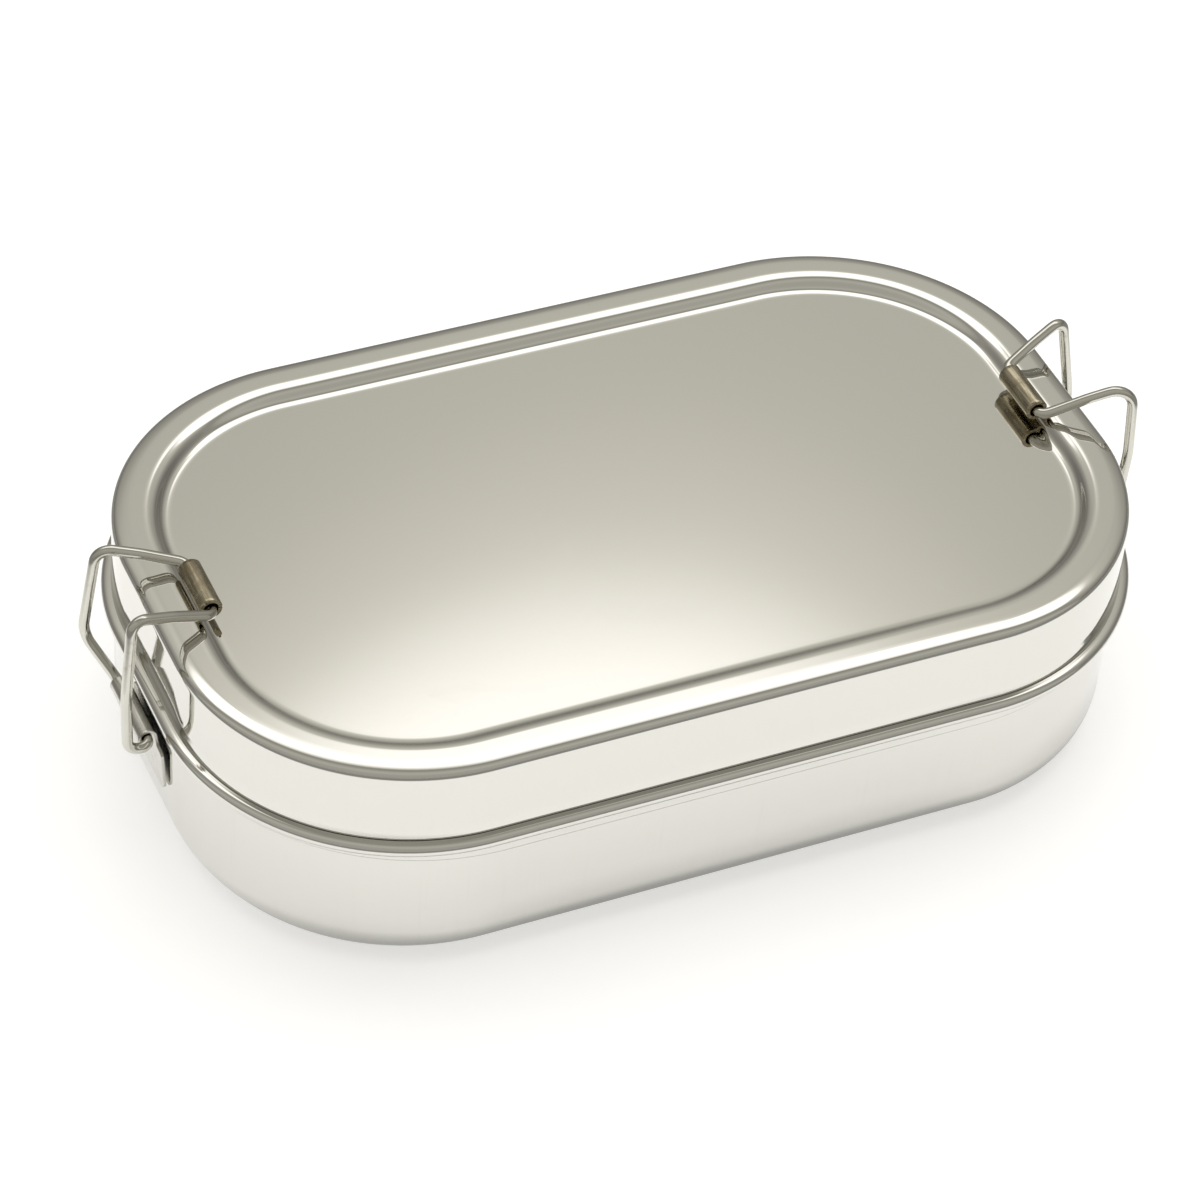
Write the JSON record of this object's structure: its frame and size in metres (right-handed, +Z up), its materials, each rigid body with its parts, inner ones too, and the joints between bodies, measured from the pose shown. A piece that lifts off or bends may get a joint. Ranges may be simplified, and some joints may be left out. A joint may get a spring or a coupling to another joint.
{
  "type": "lunch box",
  "caption": "Low stainless steel food container with rounded corners, a lift-off lid with a sunk panel, and a swinging wire clamp with a metal sleeve on each end.",
  "frame": {"origin": "centre of the base, on the surface that the box stands on", "axes": "+X along the box's length, from the left clamp to the right clamp; +Y to the back; +Z up"},
  "size_m": [0.2194, 0.1274, 0.0617],
  "materials": {
    "polished_steel": "polished stainless steel with fine drawing lines",
    "bracket_steel": "satin stainless steel",
    "wire_steel": "bright drawn stainless wire",
    "sleeve_metal": "rolled sleeve with a warm bronze tint"
  },
  "bodies": {
    "tray": {"tray": "polished_steel", "bracket_left": "bracket_steel", "bracket_right": "bracket_steel"},
    "lid": {"lid": "polished_steel"},
    "bail_left": {"bail_left": "wire_steel"},
    "bail_right": {"bail_right": "wire_steel"},
    "roller_left": {"roller_left": "sleeve_metal"},
    "roller_right": {"roller_right": "sleeve_metal"}
  },
  "joints": [
    {"name": "lid_lift", "type": "slide", "parent": "tray", "child": "lid", "axis": [0, 0, 1], "range_m": [0, 0.0066]},
    {"name": "bail_left_swing", "type": "hinge", "parent": "tray", "child": "bail_left", "pos_m": [-0.1037, 0.0008, 0.0284], "axis": [0, -1, 0], "range_deg": [0, 95]},
    {"name": "bail_right_swing", "type": "hinge", "parent": "tray", "child": "bail_right", "pos_m": [0.1037, 0.0008, 0.0284], "axis": [0, 1, 0], "range_deg": [0, 95]},
    {"name": "roller_left_spin", "type": "hinge", "parent": "bail_left", "child": "roller_left", "pos_m": [-0.0892, 0.0008, 0.05435], "axis": [0, 1, 0], "continuous": true},
    {"name": "roller_right_spin", "type": "hinge", "parent": "bail_right", "child": "roller_right", "pos_m": [0.0892, 0.0008, 0.05435], "axis": [0, 1, 0], "continuous": true}
  ],
  "couplings": [
    {"joint": "bail_left_swing", "follows": "lid_lift", "rad_per_m": 250},
    {"joint": "bail_right_swing", "follows": "lid_lift", "rad_per_m": 250}
  ]
}
